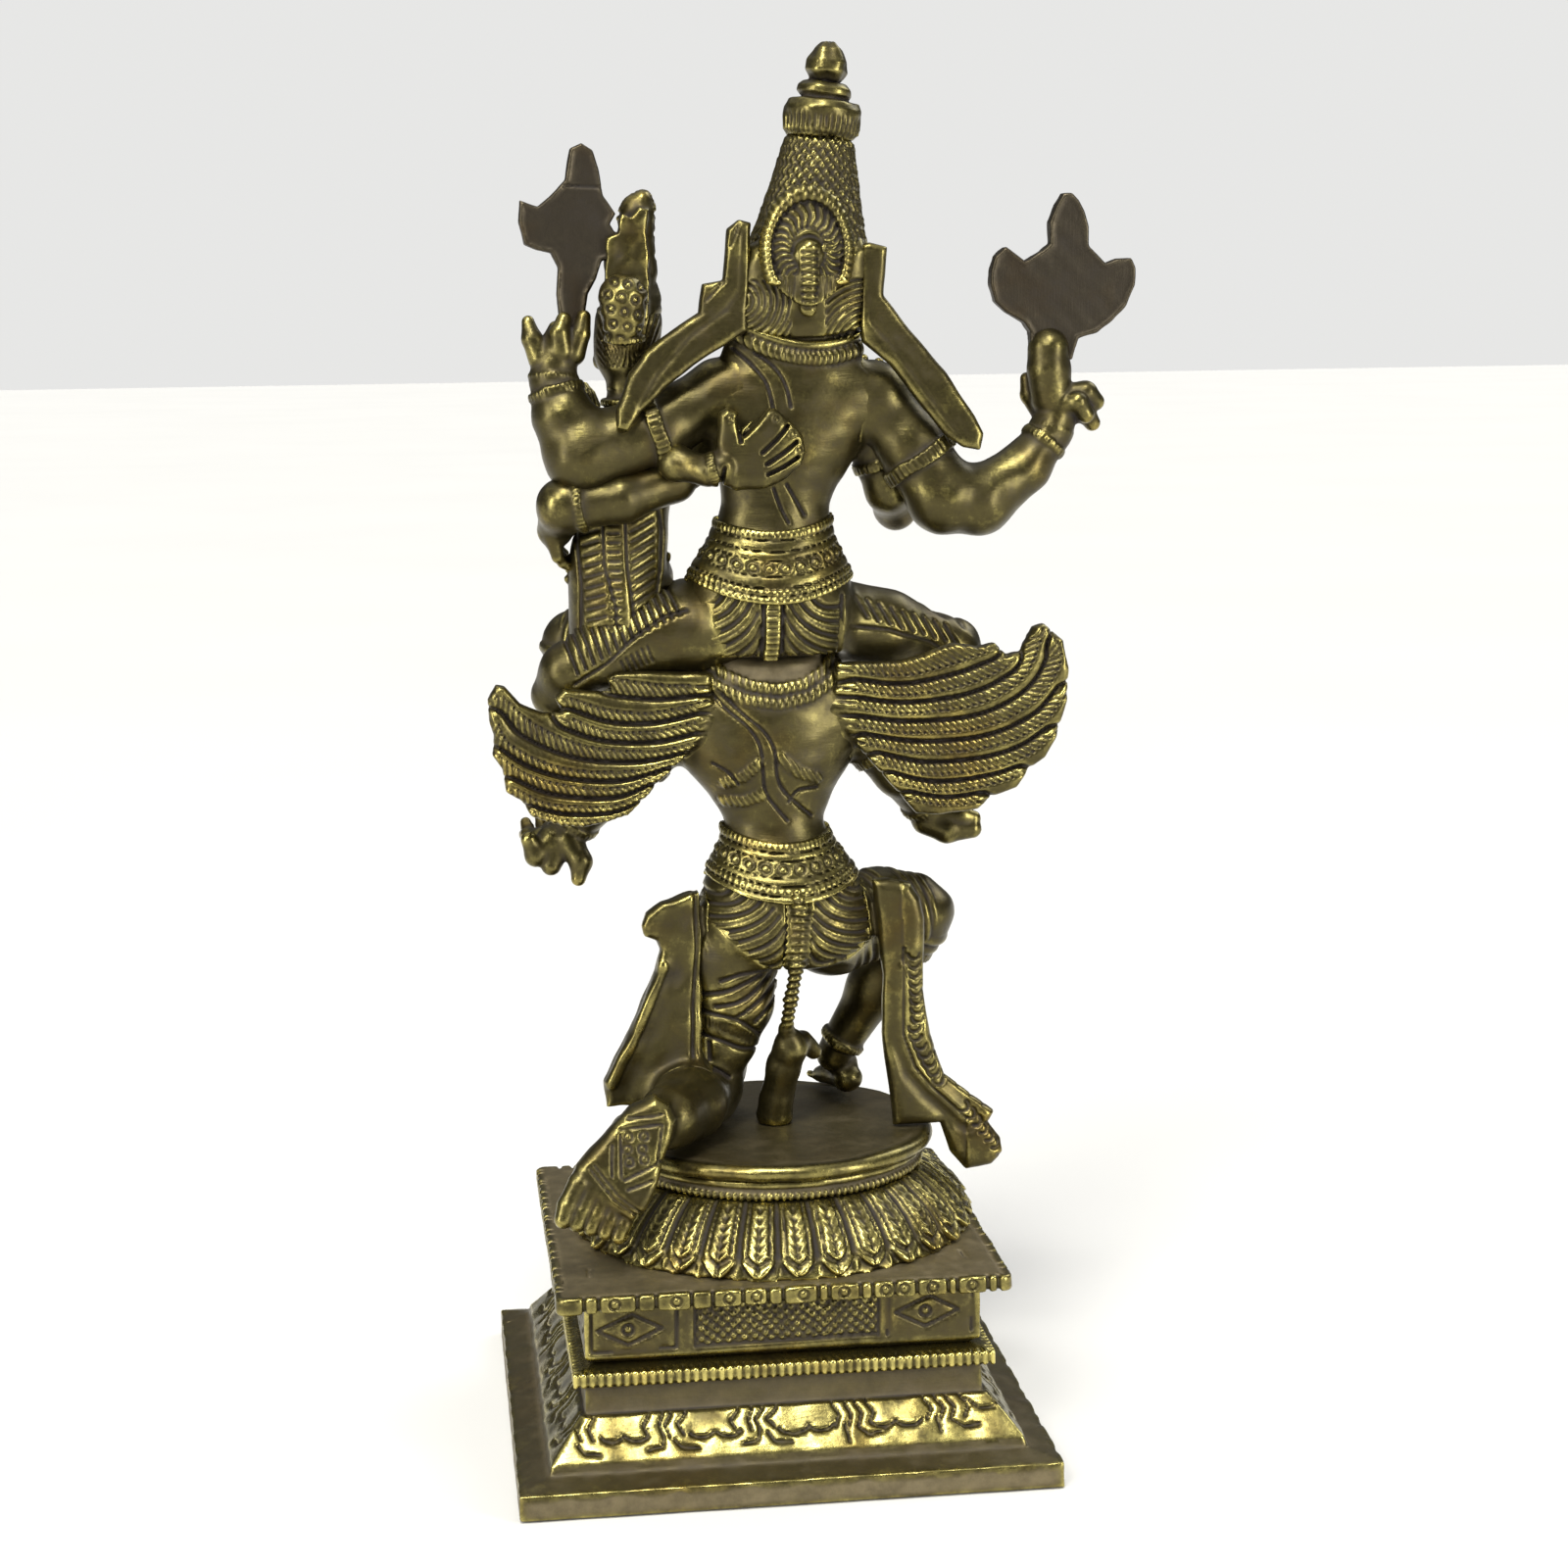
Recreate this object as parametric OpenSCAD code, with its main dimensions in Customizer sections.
// Brass figure group. A crowned four-armed god sits with his consort on the
// shoulders of a kneeling winged eagle-man, on a lotus and a stepped square
// pedestal. The group faces -Y and its own left hand is on +X. The origin is the
// middle of the pedestal's underside.

/* [Pedestal] */
// width of the square foot
foot_w = 76; // [60:1:90]
// width of the square top slab
slab_w = 64; // [50:1:74]
// height of the top slab's upper face
slab_top = 29.3; // [24:0.1:34]
// thickness of the cast walls
wall = 2.2; // [1.5:0.1:4]

/* [Lotus] */
// radius over the tips of the drooping petals
petal_r = 30.8; // [26:0.1:31.5]
// number of petals round the lotus
petals = 32; // [16:1:40]
// radius of the round seat on the lotus
seat_r = 24; // [20:0.1:28]
// height of the round seat's upper face
seat_top = 44; // [40:0.1:48]
// how far the lotus stands to the figure's right of the pedestal's middle
lotus_shift = 2; // [0:0.1:4]

/* [Fixing] */
// radius of the bolt that ties the lotus to the pedestal
bolt_r = 3; // [2:0.1:4]
// clearance round the bolt below the seat, which it is tapped into
bolt_gap = 0.2; // [0.1:0.05:0.5]

/* [Figures] */
// thickness of the ground flat backs of the raised emblems
emblem_t = 2.6; // [2:0.1:5]
// thickness of the wings
wing_t = 3.6; // [2:0.1:5]
// thickness of the ribbons and sashes
ribbon_t = 3; // [1.5:0.1:4]

// how far the upturned sole of the kneeling foot leans from upright
sole_lean = 13.5; // [0:0.5:20]

/* [Rounding] */
// facets round a limb
limb_fn = 14; // [8:2:32]
// facets round a trunk
trunk_fn = 22; // [12:2:40]

/* [Hidden] */
foot = foot_w / 2;
neck = foot - 10;
neck_top = 15.4;
plinth_top = 18.1;
slab_bottom = slab_top - 2.4;
petal_top = 38.5;
petal_root_r = 22;
bead_r = 1.4;
nut_h = 4;
washer_h = 1;
bolt_top = seat_top - 1.2;
eps = 0.02;
lotus = [-lotus_shift, 0, 0];
crown_lean = 6.5;
crown_foot = [-8.7, -0.6, 169];
brass = [0.66, 0.56, 0.25];
dark_brass = [0.42, 0.35, 0.18];
ground_brass = [0.45, 0.40, 0.30];

$fn = 72;

// ---------------------------------------------------------------- helpers

// a block with the same moulding on all four sides; outline is [half width, height]
module moulded_block(outline) {
  last = len(outline) - 1;
  mirrored = [for (i = [last : -1 : 0]) [-outline[i][0], outline[i][1]]];
  for_both = concat(outline, mirrored);
  intersection() {
    rotate([90, 0, 0]) linear_extrude(foot_w + 10, center = true) polygon(for_both);
    rotate([90, 0, 90]) linear_extrude(foot_w + 10, center = true) polygon(for_both);
  }
}

// a limb through joints, each [x, y, z, radius]
module limb(joints) {
  for (i = [1 : len(joints) - 1])
    hull() {
      ball(joints[i - 1]);
      ball(joints[i]);
    }
}

module ball(joint) {
  translate([joint[0], joint[1], joint[2]]) sphere(joint[3], $fn = limb_fn);
}

// a trunk through oval slices, each [x, y, z, half width, half depth]
module trunk(slices) {
  for (i = [1 : len(slices) - 1])
    hull() {
      slice(slices[i - 1]);
      slice(slices[i]);
    }
}

module slice(s) {
  translate([s[0], s[1], s[2]]) scale([s[3], s[4], 1])
    cylinder(r = 1, h = 0.1, center = true, $fn = trunk_fn);
}

// a flat cut-out standing up in the X-Z plane, its thickness centred on depth y
module upright_plate(y, thickness, outline) {
  translate([0, y + thickness / 2, 0]) rotate([90, 0, 0])
    linear_extrude(thickness) polygon(outline);
}

// the lotus and everything under its seat, which the figures rest on
module lotus_space() {
  translate([-lotus_shift, 0, 0]) cylinder(r = seat_r + 0.1, h = seat_top);
}

// ---------------------------------------------------------------- pedestal

module base_plate() {
  side = foot_w - 2 * wall;
  color(dark_brass) translate([-side / 2, -side / 2, 0]) cube([side, side, 1.2]);
}

module plinth() {
  in_foot = foot - wall;
  color(brass) difference() {
    moulded_block([[foot, 0], [foot, 3.9], [foot - 4.4, 4.8], [foot - 4.8, 6.1],
                   [neck + 0.7, 11.2], [neck, 11.2], [neck, neck_top], [neck + 1.8, 15.9],
                   [neck + 1.8, 17.6], [neck - 1.5, plinth_top]]);
    translate([0, 0, -1]) moulded_block([[in_foot, 0], [in_foot, 2.2]]);
    moulded_block([[in_foot - 2, 0], [in_foot - 2, 2.4], [foot - 7.5, 5.6],
                   [neck - 2.4, 10.4], [neck - 2.4, plinth_top - 2.6]]);
    tie_hole();
  }
}

module dado() {
  color(brass) difference() {
    moulded_block([[neck - 1.5, plinth_top], [neck, plinth_top + 0.9], [neck, slab_bottom]]);
    moulded_block([[neck - 3.6, 0], [neck - 3.6, slab_bottom - wall]]);
    tie_hole();
  }
}

module top_slab() {
  corner = 2;
  half = slab_w / 2 - corner;
  thick = slab_top - slab_bottom;
  color(brass) difference() {
    translate([0, 0, slab_bottom]) union() {
      translate([-half, -half - corner, 0]) cube([2 * half, slab_w, thick]);
      translate([-half - corner, -half, 0]) cube([slab_w, 2 * half, thick]);
      for (x = [-half, half], y = [-half, half])
        translate([x, y, 0]) cylinder(r = corner, h = thick);
    }
    tie_hole();
  }
}

module tie_hole() {
  translate(lotus) cylinder(r = bolt_r + bolt_gap, h = seat_top + 1);
}

// ---------------------------------------------------------------- lotus

module lotus_petals() {
  step = 360 / petals;
  color(brass) translate(lotus) difference() {
    rotate_extrude() polygon([[petal_r - 3.6, slab_top], [petal_r - 0.6, slab_top],
                              [petal_r, slab_top + 0.9], [petal_r - 2.2, 33],
                              [petal_r - 5.8, 36.9], [petal_root_r, petal_top],
                              [petal_root_r - 3, petal_top], [petal_root_r - 3, 36.3],
                              [petal_root_r + 1.4, 34.6]]);
    for (i = [0 : petals - 1])
      rotate([0, 0, (i + 0.5) * step]) translate([petal_r + 0.5, 0, 0])
        cylinder(r = 1.2, h = petal_top, $fn = 20);
  }
}

module lotus_bead_ring() {
  color(brass) translate(lotus) difference() {
    rotate_extrude() union() {
      translate([seat_r - 1.9, petal_top + 1.5]) circle(bead_r, $fn = 32);
      translate([seat_r - 3.5, petal_top]) square([1.8, 3]);
    }
  }
}

module lotus_seat() {
  rim_r = (seat_top - petal_top - 3) / 2;
  color(brass) translate(lotus) difference() {
    union() {
      translate([0, 0, seat_top - 2 * rim_r]) cylinder(r = seat_r - rim_r, h = 2 * rim_r);
      rotate_extrude() translate([seat_r - rim_r, seat_top - rim_r]) circle(rim_r, $fn = 32);
      translate([0, 0, slab_top]) cylinder(r = 9, h = seat_top - slab_top - 2 * rim_r + eps);
      translate([0, 0, petal_top - wall]) cylinder(r = petal_root_r - 3, h = wall + 3 + eps);
      translate([0, 0, petal_top]) cylinder(r = seat_r - 3.5, h = 3 + eps);
    }
    cylinder(r = bolt_r, h = bolt_top);
  }
}

// ---------------------------------------------------------------- fixing

module tie_bolt() {
  bolt_bottom = plinth_top - 2.6 - washer_h - nut_h - 1.5;
  color(dark_brass) translate(lotus) translate([0, 0, bolt_bottom])
    cylinder(r = bolt_r, h = bolt_top - bolt_bottom);
}

module tie_washer() {
  color(dark_brass) translate(lotus) translate([0, 0, plinth_top - 2.6 - washer_h])
    difference() {
      cylinder(r = 6.5, h = washer_h);
      translate([0, 0, -1]) cylinder(r = bolt_r + bolt_gap, h = washer_h + 2);
    }
}

module tie_nut() {
  color(dark_brass) translate(lotus) translate([0, 0, plinth_top - 2.6 - washer_h - nut_h])
    difference() {
      cylinder(r = 5.6, h = nut_h, $fn = 6);
      translate([0, 0, -1]) cylinder(r = bolt_r, h = nut_h + 2);
    }
}

// ---------------------------------------------------------------- eagle-man

module eagle_trunk() {
  trunk([[-4.2, 0.5, 68.5, 11, 8.5], [-4.4, 1, 72.5, 13.6, 10.2], [-4.2, 1, 78, 12.6, 9.8],
         [-3.6, 0.4, 83, 10, 8.2], [-3, 0, 88.5, 7.1, 6.3], [-2.6, -0.6, 93, 9.2, 7],
         [-2, -0.4, 98.5, 13.2, 8], [-2.4, 0, 104, 12.6, 7.6], [-2.8, 0, 109, 9.4, 6.4],
         [-3, 0, 113.4, 7.2, 5.6]]);
}

module eagle_body() {
  color(brass) eagle_trunk();
}

module eagle_skull() {
  limb([[-2.6, -6, 106, 4.2], [-2.6, -13, 110.5, 5.6], [-2.6, -14.5, 112.5, 5.8]]);
  limb([[-2.6, -18, 111.5, 2.6], [-2.6, -21.5, 110, 1.7], [-2.6, -22.6, 107.8, 0.8]]);
  for (side = [-1, 1])
    limb([[-2.6 + side * 5.6, -12.5, 112, 1.4], [-2.6 + side * 6.2, -12.3, 108.5, 1.3]]);
}

module eagle_head() {
  color(brass) difference() {
    eagle_skull();
    eagle_trunk();
  }
}

module eagle_crown() {
  color(brass) difference() {
    trunk([[-2.6, -13.6, 115.5, 5.9, 5.9], [-2.6, -13.6, 117.4, 5.5, 5.3],
           [-2.6, -14, 120, 3.6, 3.4], [-2.6, -14.2, 123, 2, 2], [-2.6, -14.2, 125.4, 0.7, 0.7]]);
    eagle_skull();
    god_trunk();
  }
}

module eagle_left_arm() {
  color(brass) difference() {
    union() {
      limb([[10.5, -1.5, 103.5, 3.7], [20.5, -3, 93.6, 2.9], [26.4, -8, 87.2, 2.4],
            [28.4, -12, 86, 2.4], [29, -16.5, 86, 1.9]]);
      limb([[29.6, -7.8, 86.4, 2], [29.2, -6.6, 83, 1.6], [26, -6.6, 81.6, 1.4]]);
    }
    eagle_trunk();
    god_left_foot();
  }
}

module eagle_right_arm() {
  color(brass) difference() {
    union() {
      limb([[-15, -1.5, 103.5, 3.7], [-22, -3, 94.6, 2.9], [-27, -8, 88.4, 2.4],
            [-29.4, -12, 87, 2.4], [-30.4, -16.5, 87, 1.9]]);
      limb([[-26.2, -7.4, 86.8, 1.9], [-29.6, -6.6, 85.6, 1.8], [-32.2, -6.6, 86, 1.5]]);
    }
    eagle_trunk();
    god_right_foot();
  }
}

module eagle_left_leg_form() {
  limb([[3.6, -0.5, 71, 6.6], [4.6, -4, 62, 6], [6.6, -10.6, 50.4, 5.6], [8.2, 0, 49.8, 5.6],
        [11, 9, 49.8, 5], [14.4, 15.6, 49.8, 4.2], [17.4, 18.6, 49, 3.2]]);
  translate([0, 20.2, 52]) rotate([sole_lean, 0, 0]) translate([0, 0, -52])
    upright_plate(0, 4.2, [[16.8, 54.4], [14.8, 53], [14, 50.9], [14.9, 47.8], [16.2, 45],
      [17.4, 41.2], [17.8, 37.5], [19.7, 36.2], [22.5, 34.4], [26.4, 36], [31.1, 37],
      [32.5, 38.3], [31.5, 41.7], [28.1, 45.3], [23.6, 49.9], [20.4, 52.8]]);
}

module eagle_left_leg() {
  color(brass) difference() {
    eagle_left_leg_form();
    eagle_trunk();
    lotus_space();
  }
}

module eagle_right_leg() {
  color(brass) difference() {
    union() {
      limb([[-11.4, -1, 72.5, 6.8], [-19, -4, 74, 6.1], [-24.4, -6.4, 73, 5.5],
            [-19.2, -9.6, 61.5, 3.9], [-13.2, -12, 50.6, 2.8], [-14, -12.4, 47, 3]]);
      limb([[-14, -12.6, 47, 2.8], [-11.8, -18.4, 46, 2.6], [-10.8, -23, 45.4, 2]]);
    }
    eagle_trunk();
    lotus_space();
  }
}

module eagle_left_wing() {
  color(brass) difference() {
    upright_plate(4.4, wing_t, [[6.4, 112], [14.8, 112.4], [20.9, 111.7], [19.9, 109],
      [27.3, 109.7], [27.8, 106], [32.8, 107.6], [36.4, 110.4], [38.3, 108], [38.2, 103.6],
      [37.5, 101.6], [36, 97], [32.6, 92.2], [24.9, 89.9], [18.6, 91.4], [13.8, 96.2],
      [8.6, 101.2], [6, 106]]);
    eagle_trunk();
  }
}

module eagle_right_wing() {
  color(brass) difference() {
    upright_plate(4.4, wing_t, [[-11.6, 112], [-20.8, 113.6], [-28.5, 115.2], [-32.3, 113.4],
      [-34.6, 114], [-37, 112.4], [-41.6, 116.6], [-44.8, 114.6], [-46, 110], [-44.6, 103.4],
      [-41.9, 97.6], [-37.6, 93.4], [-32, 90.6], [-23, 90.2], [-20.1, 93.8], [-14.5, 100.4],
      [-11, 106]]);
    eagle_trunk();
  }
}

module eagle_belt() {
  color(brass) difference() {
    trunk([[-4.4, 0.9, 79.4, 13.3, 10.8], [-3.7, 0.4, 83, 10.9, 9.1],
           [-3.1, 0.1, 88, 8.1, 7.3]]);
    eagle_trunk();
  }
}

module eagle_left_sash() {
  color(brass) difference() {
    upright_plate(5.2, ribbon_t, [[8.6, 80.4], [14.1, 78.7], [16.4, 77], [17, 75.5], [16.6, 74],
      [15, 72.9], [14.5, 71.6], [15.1, 68.6], [17.3, 63.7], [21.2, 56], [23, 52.6], [22.6, 49],
      [16, 49], [11, 53.6], [8.6, 56]]);
    eagle_trunk();
    eagle_left_leg_form();
    lotus_space();
  }
}

module eagle_right_sash() {
  color(brass) difference() {
    upright_plate(5.4, ribbon_t, [[-16.4, 81], [-18.6, 81], [-22, 80.3], [-23.4, 78],
      [-24, 74.9], [-23.8, 64.2], [-24.8, 57.7], [-26.9, 51.5], [-30.3, 48.7], [-34.2, 45.6],
      [-33.6, 44], [-35.2, 41.5], [-35.5, 39.3], [-33.8, 37.6], [-29.9, 36.9], [-27.6, 39.6],
      [-26.2, 44.1], [-19.2, 44.1], [-18.6, 50], [-17.6, 58], [-17.4, 70.8]]);
    eagle_trunk();
    lotus_space();
  }
}

module eagle_tassel() {
  color(brass) difference() {
    union() {
      limb([[-4.9, 10.6, 80.6, 1.4], [-5, 10.8, 76, 1.5], [-4.5, 9.4, 68, 1.4],
            [-3.9, 5, 59.4, 1.4], [-4.6, 3.2, 56, 2.6], [-3.2, 1.6, 50, 2.6],
            [-2.4, 0.6, 45.6, 2.9]]);
      limb([[-6.4, 2.2, 56.6, 1.5], [-8.2, 1.2, 54.6, 1.2]]);
    }
    eagle_trunk();
    eagle_left_leg_form();
    lotus_space();
  }
}

// ---------------------------------------------------------------- four-armed god

module god_trunk() {
  trunk([[-3, -0.8, 113.4, 12, 8.4], [-3, 0, 117.5, 13.2, 9.8], [-3, 0, 121.5, 12.4, 9.4],
         [-3, 0, 125.5, 11.4, 8.4], [-3.4, 0, 130.5, 8.8, 6.8], [-3.9, 0, 135, 7.8, 5.8],
         [-4.9, -0.3, 140, 9.8, 6.6], [-6, -0.3, 145, 12.2, 6.9], [-6.9, 0, 149.6, 14.6, 6.4],
         [-7.2, 0.2, 153, 10.4, 5.2], [-7.6, 0, 156.4, 4.8, 4.6], [-7.9, -0.4, 159, 4.4, 4.4]]);
}

module god_body() {
  color(brass) difference() {
    god_trunk();
    eagle_trunk();
  }
}

module god_skull() {
  trunk([[-7.9, -0.6, 158, 4.6, 4.8], [-8, -1.6, 160.4, 6.4, 6.6], [-8.2, -1.6, 164.5, 7.6, 7.6],
         [-8.5, -1, 169, 8, 7.6], [-8.7, -0.7, 171, 7.6, 7.2]]);
}

module god_head() {
  color(brass) difference() {
    union() {
      god_skull();
      for (side = [-1, 1])
        limb([[-8.3 + side * 7.6, -1.6, 165, 1.6], [-8.2 + side * 7.6, -1.8, 160.6, 1.5]]);
      upright_plate(1.4, 8, [[-16, 158.3], [-16.8, 163], [-17.2, 170.6], [-16, 171.6],
        [-1.6, 171.6], [0.2, 170.8], [1.6, 163], [1.8, 159.2], [-3, 157.3], [-12, 157.2]]);
    }
    god_trunk();
  }
}

// the crown's own upright frame
module on_crown() {
  translate(crown_foot) rotate([0, -crown_lean, 0]) children();
}

module god_crown() {
  color(brass) difference() {
    on_crown() rotate_extrude(convexity = 4, $fn = 36)
      polygon([[0, 0], [8.1, 0], [8.7, 1], [8.5, 3], [7.9, 3.6], [7.4, 6.6], [6.5, 9.8],
               [5.4, 13.4], [4.7, 17], [0, 17]]);
    god_head();
    god_trunk();
  }
}

module god_crown_finial() {
  color(brass) on_crown() rotate_extrude(convexity = 4)
    polygon([[0, 17], [5, 17], [5.6, 17.8], [5.6, 20.6], [5, 22], [3, 22.3], [3.8, 23],
             [3.7, 24.2], [2, 24.9], [2.7, 26], [2.9, 27.2], [2.3, 28.8], [0.9, 30.2], [0, 30.4]]);
}

module god_crown_wheel() {
  color(brass) translate([-7.9, 6.4, 170.4]) rotate([-90, 0, 0]) difference() {
    union() {
      rotate_extrude() translate([5.8, 1.2]) circle(1.2, $fn = 24);
      cylinder(r = 5.4, h = 1.6);
      translate([-1.5, 0, 0]) cube([3, 8, 3]);
      cylinder(r = 1.5, h = 3, $fn = 24);
    }
    translate([0, 0, -8]) cylinder(r = 20, h = 8);
  }
}

module god_back_left_arm_form() {
  limb([[4, -0.4, 150.6, 4.6], [12.8, 1, 145.6, 5], [23.4, 1.8, 142.6, 5.6],
        [26.2, 1.2, 148, 4.3], [27.3, 0.5, 153, 3.1], [26.7, 0.6, 158.1, 2.7]]);
}

module god_back_left_arm() {
  color(brass) difference() {
    union() {
      god_back_left_arm_form();
      limb([[28.8, 0.3, 156.2, 1.8], [30.5, 0.1, 160.8, 0.9]]);
      limb([[24.8, 1.3, 156.8, 1.8], [23.3, 1.1, 161.1, 1]]);
    }
    god_trunk();
    consort_trunk();
    conch_emblem();
  }
}

module god_back_right_arm_form() {
  limb([[-18.2, -0.4, 150, 4.6], [-23.2, 1, 142.8, 4.8], [-27.8, 2, 135.6, 5.2],
        [-33, 1.8, 134.9, 4.8], [-40, 0.8, 139.6, 3.6], [-44.6, 0, 146.6, 3]]);
}

module god_back_right_arm() {
  color(brass) difference() {
    union() {
      god_back_right_arm_form();
      limb([[-43.8, 0.2, 149.2, 2.8], [-43.4, 0.3, 156.2, 2.8]]);
      limb([[-46.4, 0.8, 148.6, 2.2], [-49.6, 0.8, 147.4, 1.6]]);
    }
    god_trunk();
    discus_emblem();
  }
}

module god_front_left_arm() {
  color(brass) difference() {
    limb([[5.4, -1.6, 146, 3.4], [10.8, 1.2, 138.6, 3], [18.4, 3.6, 136.2, 3.2],
          [26.4, 2, 135.4, 3.8], [27.6, -1.6, 131.8, 2.6], [27.6, -4, 128.6, 1.4]]);
    god_trunk();
    god_back_left_arm_form();
    consort_trunk();
    consort_right_arm_form();
  }
}

module god_front_right_arm() {
  color(brass) difference() {
    union() {
      limb([[-18, -2.4, 146.4, 3.6], [-22.6, -4, 135.6, 2.9], [-21, -11.6, 139.4, 2.4],
            [-20.4, -14.6, 143, 2], [-20.2, -15.2, 146.6, 2.6]]);
      limb([[-20.2, -15.2, 148, 2.3], [-20, -14.6, 154.4, 1.5]]);
      limb([[-22, -15.2, 147, 1.1], [-23.4, -15.4, 150.6, 0.9]]);
    }
    god_trunk();
  }
}

module god_left_foot() {
  limb([[27, -11.6, 93.6, 2.6], [28, -14, 90.8, 2.5], [28.6, -19.6, 89.6, 1.7]]);
}

module god_right_foot() {
  limb([[-28.6, -11.6, 94.4, 2.6], [-29.6, -14, 91.8, 2.5], [-30.4, -19.6, 90.6, 1.7]]);
}

module god_left_leg_form() {
  limb([[5, -3, 118.4, 6.2], [15, -7.4, 117, 5.6], [24.2, -12.4, 114, 4.7],
        [26, -12.4, 104, 3.5], [27, -11.6, 93.6, 2.6]]);
  god_left_foot();
}

module god_left_leg() {
  color(brass) difference() {
    god_left_leg_form();
    god_trunk();
  }
}

module god_right_leg() {
  color(brass) difference() {
    union() {
      limb([[-11.4, -2.6, 118, 5.8], [-20, -4.4, 116, 5.2], [-30.6, -8, 112.4, 4],
            [-30, -10, 104, 3.3], [-28.6, -11.6, 94.4, 2.6]]);
      god_right_foot();
    }
    god_trunk();
  }
}

module god_belt() {
  color(brass) difference() {
    trunk([[-3, 0.1, 122.6, 13.2, 10.4], [-3.1, 0.1, 126, 12.2, 9.3], [-3.5, 0, 132.4, 9, 7.2]]);
    god_trunk();
  }
}

module god_left_ribbon() {
  color(brass) difference() {
    upright_plate(3.8, ribbon_t, [[0.4, 160], [-0.4, 174.2], [1.4, 174.7], [3, 173.4],
      [3.7, 166.4], [6.6, 165.9], [7.4, 162.2], [11, 160.6], [15.4, 156.4], [18.4, 147],
      [13.8, 148.6], [12.4, 153.4], [8, 157.4], [3.6, 159.2]]);
    god_head();
    god_crown();
    god_trunk();
    god_back_left_arm_form();
  }
}

module god_right_ribbon() {
  color(brass) difference() {
    upright_plate(4, ribbon_t, [[-15.6, 159.6], [-15.8, 171], [-16.9, 171.3], [-19.4, 170.7],
      [-18.9, 164], [-22.6, 159.2], [-27.5, 153.4], [-31.6, 147], [-32.7, 144.6],
      [-32.3, 142.2], [-29.8, 142.7], [-27.3, 144.5], [-24.3, 148.2], [-19.7, 154.4],
      [-15.8, 157.6]]);
    god_head();
    god_crown();
    god_trunk();
    god_back_right_arm_form();
  }
}

module conch_emblem() {
  color(ground_brass) upright_plate(-0.2, emblem_t, [[22.7, 185.4], [24.3, 184.7],
    [25.1, 180.4], [27.2, 178.2], [29, 176.8], [31.4, 177.6], [31.7, 174.7], [31, 171.6],
    [27.3, 170.4], [26.4, 168.4], [26.7, 164.8], [26.3, 161.2], [24.6, 159.6], [22.8, 161.4],
    [22.3, 164.7], [21.1, 166.8], [20.3, 169.3], [17, 169.6], [15, 171.6], [15.6, 173.2],
    [18.4, 173.2], [19.1, 174.3], [18.2, 175.7], [19.9, 178.2], [20.4, 181.8], [21.2, 184.4]]);
}

module discus_emblem() {
  color(ground_brass) upright_plate(-0.2, emblem_t, [[-45.4, 178], [-46.7, 178], [-47.7, 177],
    [-48.5, 175.5], [-49.1, 173.4], [-49.2, 170.6], [-51.6, 168.2], [-53.4, 168.8],
    [-55.6, 168.9], [-56.2, 167.5], [-55.9, 165], [-54.7, 162.2], [-52.7, 160.1],
    [-50.4, 158.4], [-47.6, 157.6], [-46.8, 154.6], [-40.8, 154.6], [-40.6, 158.6],
    [-39.7, 159.9], [-37.1, 161.4], [-35.5, 162.9], [-34.9, 165.2], [-34.9, 167.2],
    [-35.5, 169.3], [-37.1, 170.7], [-39.9, 168.6], [-42.3, 170], [-43.5, 171], [-43.4, 174],
    [-44.4, 176.4]]);
}

// ---------------------------------------------------------------- consort

module consort_trunk() {
  trunk([[19.8, -2.6, 109, 5.6, 5.6], [19.6, -2.6, 114, 6.3, 6.8], [19.4, -2.6, 119, 6.5, 7.2],
         [19, -2.4, 124, 6.9, 6.4], [18.4, -2.2, 129.6, 6.9, 5.4], [17.4, -2.2, 134.6, 6.3, 5.3],
         [17, -2, 140.6, 7.2, 5.2], [17, -2, 145.4, 6.4, 4.3], [17, -2, 148.8, 3.2, 3.1],
         [16.9, -2.2, 153, 2.7, 2.7]]);
}

module consort_body() {
  color(brass) difference() {
    union() {
      consort_trunk();
      for (side = [-1, 1])
        limb([[17.6 + side * 3, -5, 124.6, 4], [17.6 + side * 3, -19, 123, 3.4],
              [17.8 + side * 2.4, -20, 110, 2.5], [18 + side * 2.2, -19.4, 99.6, 1.9],
              [18 + side * 2.2, -23, 97.6, 1.4]]);
    }
    god_trunk();
    god_left_leg_form();
  }
}

module consort_skull() {
  limb([[16.9, -2.4, 153.6, 2.8], [16.8, -3, 157, 4.6], [16.4, -2.8, 160.6, 4.6]]);
  for (side = [-1, 1]) limb([[16.8 + side * 4.6, -3, 158, 1.1], [16.8 + side * 4.6, -3, 155, 1.2]]);
}

module consort_head() {
  color(brass) difference() {
    consort_skull();
    consort_trunk();
  }
}

module consort_crown() {
  color(brass) difference() {
    trunk([[16.4, -3, 161.4, 4.6, 4.6], [16.1, -3, 163.4, 4.4, 4.6], [15.6, -3, 166, 3.5, 3.9],
           [15.2, -3, 170, 2.9, 3.1], [15, -3, 175.6, 2.8, 2.6], [14.5, -3, 177.8, 2.1, 1.9],
           [14, -3, 179.2, 1, 1]]);
    conch_emblem();
    consort_skull();
    consort_bun_form();
  }
}

module consort_bun_form() {
  limb([[17.6, 3, 160.4, 3], [17.6, 3.2, 164, 3.6]]);
}

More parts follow.
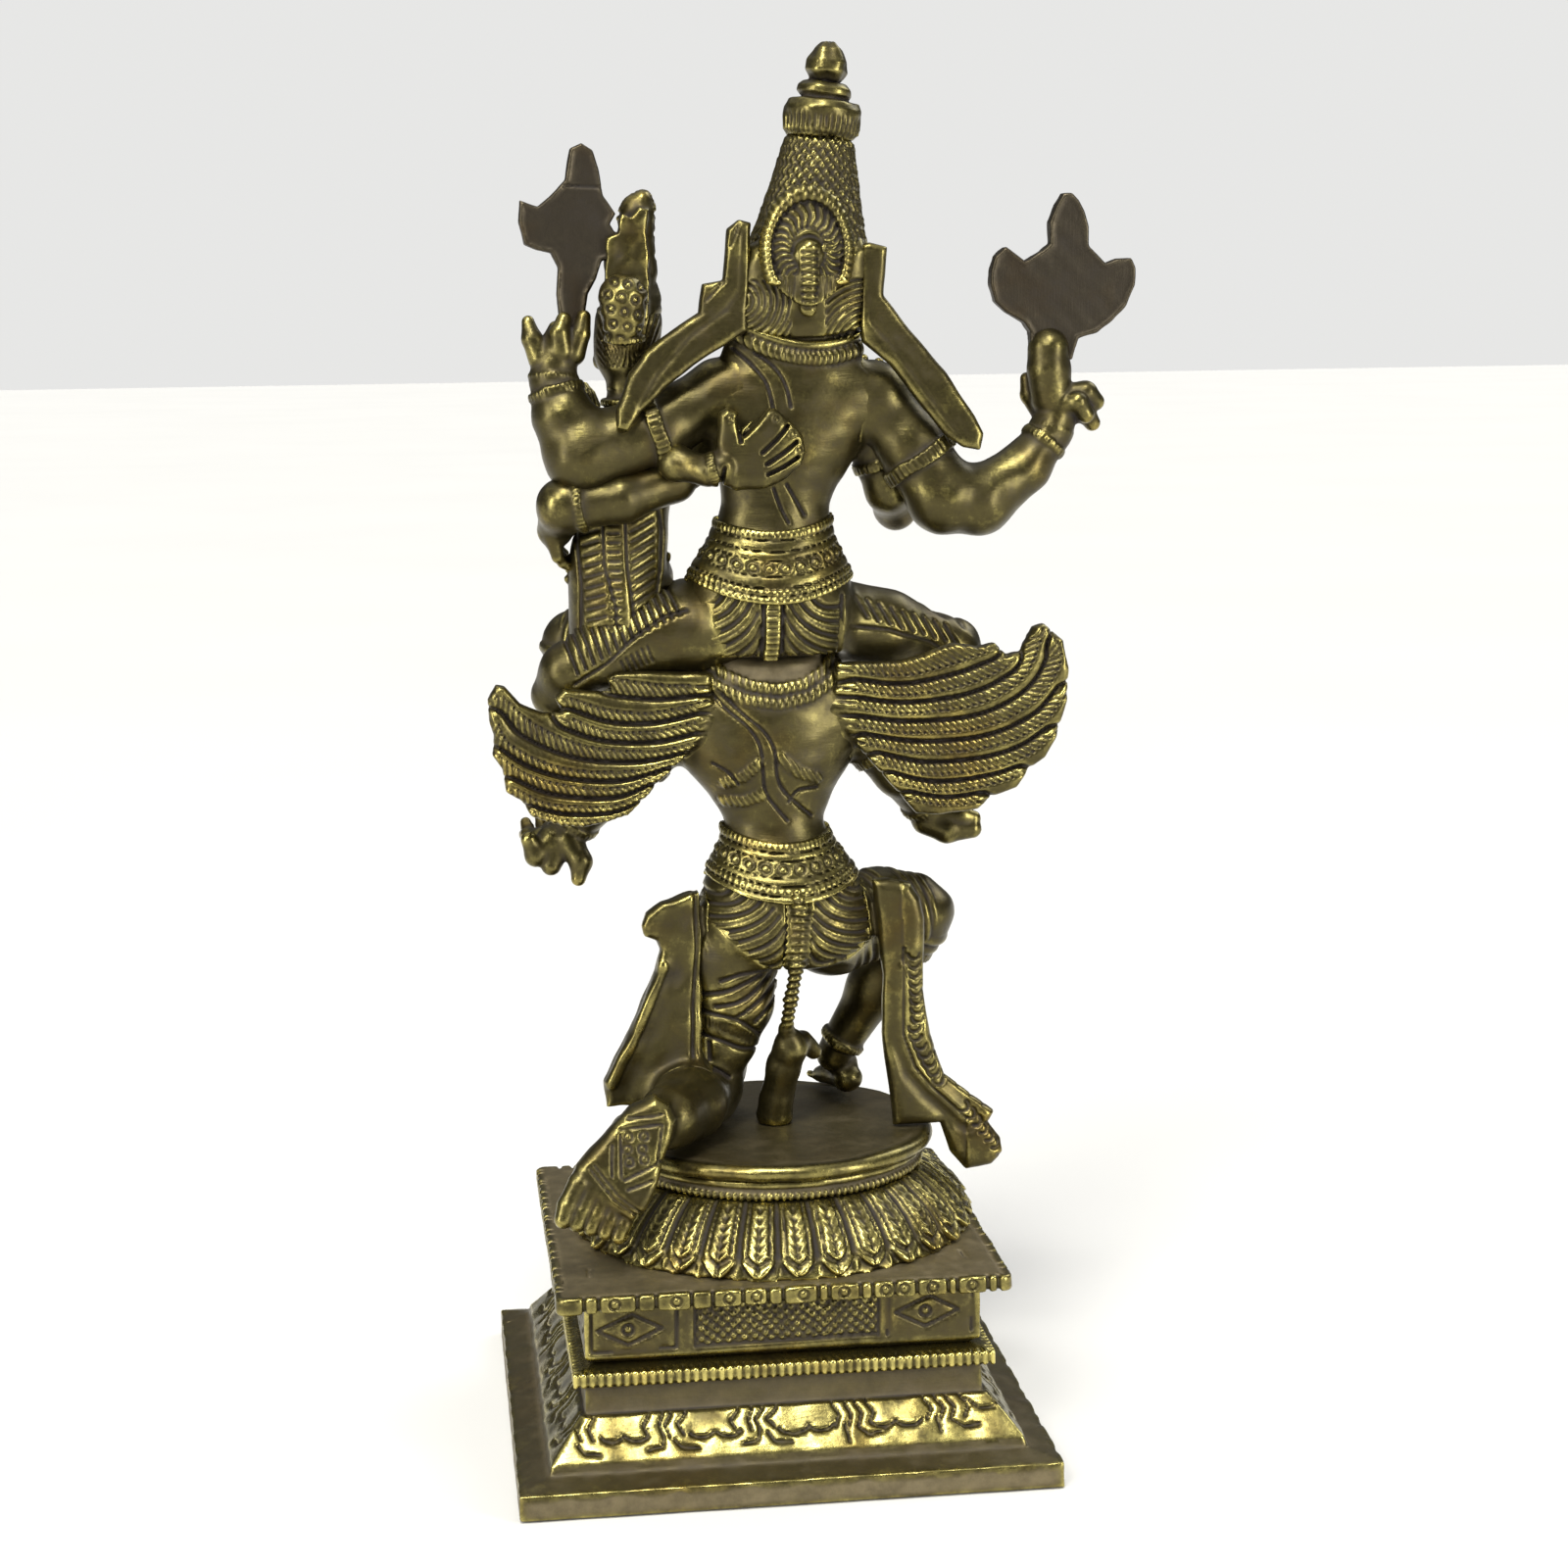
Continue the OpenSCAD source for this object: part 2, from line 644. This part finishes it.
module consort_hair_bun() {
  color(brass) difference() {
    consort_bun_form();
    consort_skull();
    consort_trunk();
  }
}

module consort_right_arm_form() {
  limb([[11.6, -1, 142.8, 2.8], [10.8, 4.6, 141.2, 2.4], [5, 7.8, 140.4, 2],
        [2.2, 7.6, 141.4, 2.6], [-2.4, 7.6, 143, 2.2], [-5.6, 7.4, 144, 1.4]]);
  limb([[3.6, 7.8, 142.4, 1.6], [3.8, 7.6, 147.6, 1.2]]);
}

module consort_right_arm() {
  color(brass) difference() {
    consort_right_arm_form();
    god_trunk();
    god_back_left_arm_form();
    consort_trunk();
  }
}

module consort_left_arm() {
  color(brass) difference() {
    limb([[22.8, -2.4, 142.6, 2.8], [26.2, -4.6, 134.4, 2.3], [23.6, -11.6, 137, 1.9],
          [22.6, -12.8, 140.6, 1.9], [22.4, -12.8, 143, 1.7]]);
    consort_trunk();
    god_hand_space();
  }
}

// the god's hand at the consort's side
module god_hand_space() {
  limb([[26.4, 2, 135.4, 3.8], [27.6, -1.6, 131.8, 2.6], [27.6, -4, 128.6, 1.4]]);
}

module consort_lotus_bud() {
  color(brass) translate([22.4, -12.8, 144.4]) rotate_extrude(convexity = 4)
    polygon([[0, 0], [0.7, 0], [0.7, 1.6], [2, 2.8], [2.4, 4.4], [1.6, 6.4], [0, 8]]);
}

base_plate();
plinth();
dado();
top_slab();
lotus_petals();
lotus_bead_ring();
lotus_seat();
tie_bolt();
tie_washer();
tie_nut();
eagle_body();
eagle_head();
eagle_crown();
eagle_left_arm();
eagle_right_arm();
eagle_left_leg();
eagle_right_leg();
eagle_left_wing();
eagle_right_wing();
eagle_belt();
eagle_left_sash();
eagle_right_sash();
eagle_tassel();
god_body();
god_head();
god_crown();
god_crown_finial();
god_crown_wheel();
god_back_left_arm();
god_back_right_arm();
god_front_left_arm();
god_front_right_arm();
god_left_leg();
god_right_leg();
god_belt();
god_left_ribbon();
god_right_ribbon();
conch_emblem();
discus_emblem();
consort_body();
consort_head();
consort_crown();
consort_hair_bun();
consort_right_arm();
consort_left_arm();
consort_lotus_bud();
